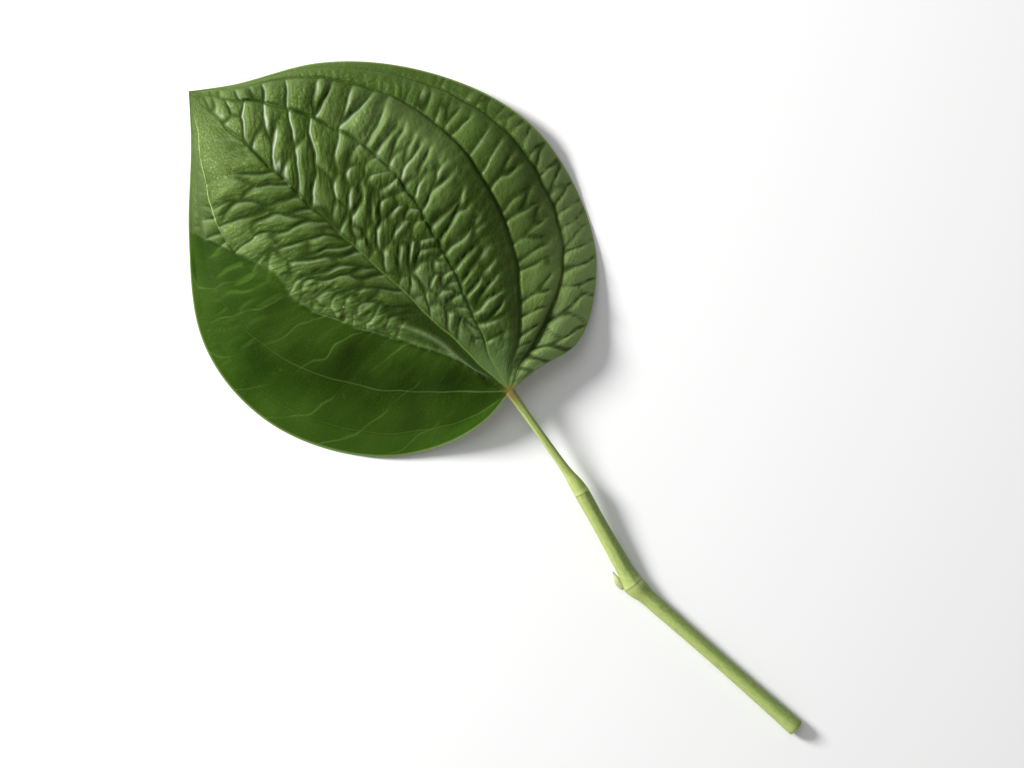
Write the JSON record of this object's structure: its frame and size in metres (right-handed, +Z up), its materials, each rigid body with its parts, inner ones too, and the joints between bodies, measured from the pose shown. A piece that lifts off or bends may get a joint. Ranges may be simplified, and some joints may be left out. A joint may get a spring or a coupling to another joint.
{
  "type": "wild betel leaf",
  "caption": "Fresh wild betel leaf as picked: a broad, puckered, heart-shaped blade with fanned veins, on its stalk and a short cut piece of jointed stem, lying face up.",
  "frame": {"origin": "centre of the bounding box in X and Y, on the plane that the leaf and stem lie on", "axes": "+Y along the midrib from the stalk to the tip, +X towards the leaf's right half seen from above, +Z up out of the upper face"},
  "size_m": [0.104, 0.2296, 0.0159],
  "materials": {
    "leaf_green": "glossy puckered deep green upper face with sunken veins, pale yellow-green matt underside",
    "stalk_green": "satin pale yellow-green, brownish at the joint with the blade",
    "stem_green": "satin yellow-green with lengthwise ridges, darker along one side, brown rings at the joints",
    "bud_pale": "matt pale green with a browned tip"
  },
  "bodies": {
    "root": {"leaf_blade": "leaf_green", "petiole": "stalk_green", "stem": "stem_green", "bud": "bud_pale"}
  },
  "joints": []
}
